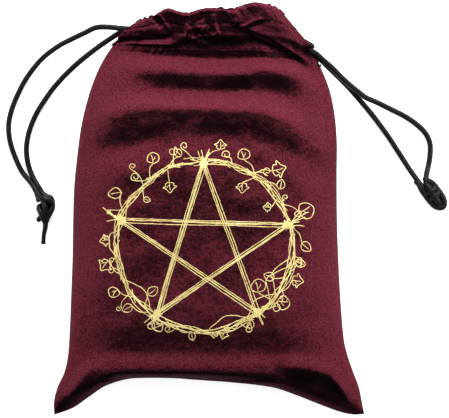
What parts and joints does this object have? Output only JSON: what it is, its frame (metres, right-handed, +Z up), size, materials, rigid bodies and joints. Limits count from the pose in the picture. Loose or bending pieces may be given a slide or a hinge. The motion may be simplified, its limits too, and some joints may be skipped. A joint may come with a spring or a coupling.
{
  "type": "drawstring pouch",
  "caption": "Small soft drawstring pouch lying on its back, gathered mouth closed by opposed knotted cords, printed star in a ring on the front.",
  "frame": {"origin": "centre of the flat patch the back panel rests on, bag lying on its back", "axes": "+X to the bag's right seen from the front, +Y from the bottom seam to the mouth, +Z up out of the front"},
  "size_m": [0.1996, 0.1858, 0.0475],
  "materials": {
    "velvet": "crushed burgundy velvet, short pile with sheen",
    "velvet_back": "plain knitted back of the velvet",
    "cord": "black satin cord",
    "thread": "dark red sewing thread",
    "print": "pale gold screen print"
  },
  "bodies": {
    "pouch": {"front_panel": "velvet", "back_panel": "velvet", "left_seam_allowance": "velvet_back", "right_seam_allowance": "velvet_back", "bottom_seam_allowance": "velvet_back", "left_seam_stitches": "thread", "right_seam_stitches": "thread", "bottom_seam_stitches": "thread", "print_emblem": "print", "front_casing": "velvet", "back_casing": "velvet", "front_ruffle": "velvet", "back_ruffle": "velvet", "front_casing_stitches": "thread", "back_casing_stitches": "thread", "left_cord_run": "cord", "right_cord_run": "cord"},
    "left_slit": {"left_slit_hem": "velvet", "left_bar_tack": "thread"},
    "right_slit": {"right_slit_hem": "velvet", "right_bar_tack": "thread"},
    "left_loop": {"left_cord_outer_near": "cord", "left_cord_inner_near": "cord"},
    "left_loop_end": {"left_cord_outer_far": "cord", "left_cord_inner_far": "cord"},
    "left_knot": {"left_knot": "cord", "left_cord_tails": "cord"},
    "right_loop": {"right_cord_outer_near": "cord", "right_cord_inner_near": "cord"},
    "right_loop_end": {"right_cord_outer_far": "cord", "right_cord_inner_far": "cord"},
    "right_knot": {"right_knot": "cord"}
  },
  "joints": [
    {"name": "left_slit_slide", "type": "slide", "parent": "pouch", "child": "left_slit", "axis": [1, 0, 0], "range_m": [-0.012, 0.02], "deforming": ["front_casing", "back_casing", "front_ruffle", "back_ruffle", "front_casing_stitches", "back_casing_stitches", "left_cord_run", "right_cord_run"]},
    {"name": "right_slit_slide", "type": "slide", "parent": "pouch", "child": "right_slit", "axis": [-1, 0, 0], "range_m": [-0.012, 0.02], "deforming": ["front_casing", "back_casing", "front_ruffle", "back_ruffle", "front_casing_stitches", "back_casing_stitches", "left_cord_run", "right_cord_run"]},
    {"name": "left_loop_swing", "type": "hinge", "parent": "left_slit", "child": "left_loop", "pos_m": [-0.0382, 0.091, 0.012], "axis": [0, 0, -1], "range_deg": [-5, 45], "deforming": ["left_cord_outer_near", "left_cord_inner_near"]},
    {"name": "right_loop_swing", "type": "hinge", "parent": "right_slit", "child": "right_loop", "pos_m": [0.05, 0.0814, 0.012], "axis": [0, 0, 1], "range_deg": [-12, 45], "deforming": ["right_cord_outer_near", "right_cord_inner_near"]},
    {"name": "left_cord_pull", "type": "slide", "parent": "left_loop", "child": "left_loop_end", "axis": [-0.4356, -0.9002, 0], "range_m": [-0.012, 0.02], "deforming": ["left_cord_outer_far", "left_cord_inner_far"]},
    {"name": "right_cord_pull", "type": "slide", "parent": "right_loop", "child": "right_loop_end", "axis": [0.6429, -0.7659, 0], "range_m": [-0.012, 0.02], "deforming": ["right_cord_outer_far", "right_cord_inner_far"]},
    {"name": "left_knot_swing", "type": "hinge", "parent": "left_loop_end", "child": "left_knot", "pos_m": [-0.0742, 0.0166, 0.004], "axis": [0, 0, -1], "range_deg": [-35, 35]},
    {"name": "right_knot_swing", "type": "hinge", "parent": "right_loop_end", "child": "right_knot", "pos_m": [0.0986, 0.0235, 0.004], "axis": [0, 0, 1], "range_deg": [-35, 35]}
  ],
  "couplings": [
    {"joint": "right_slit_slide", "follows": "left_cord_pull", "ratio": 1},
    {"joint": "left_slit_slide", "follows": "right_cord_pull", "ratio": 1}
  ]
}
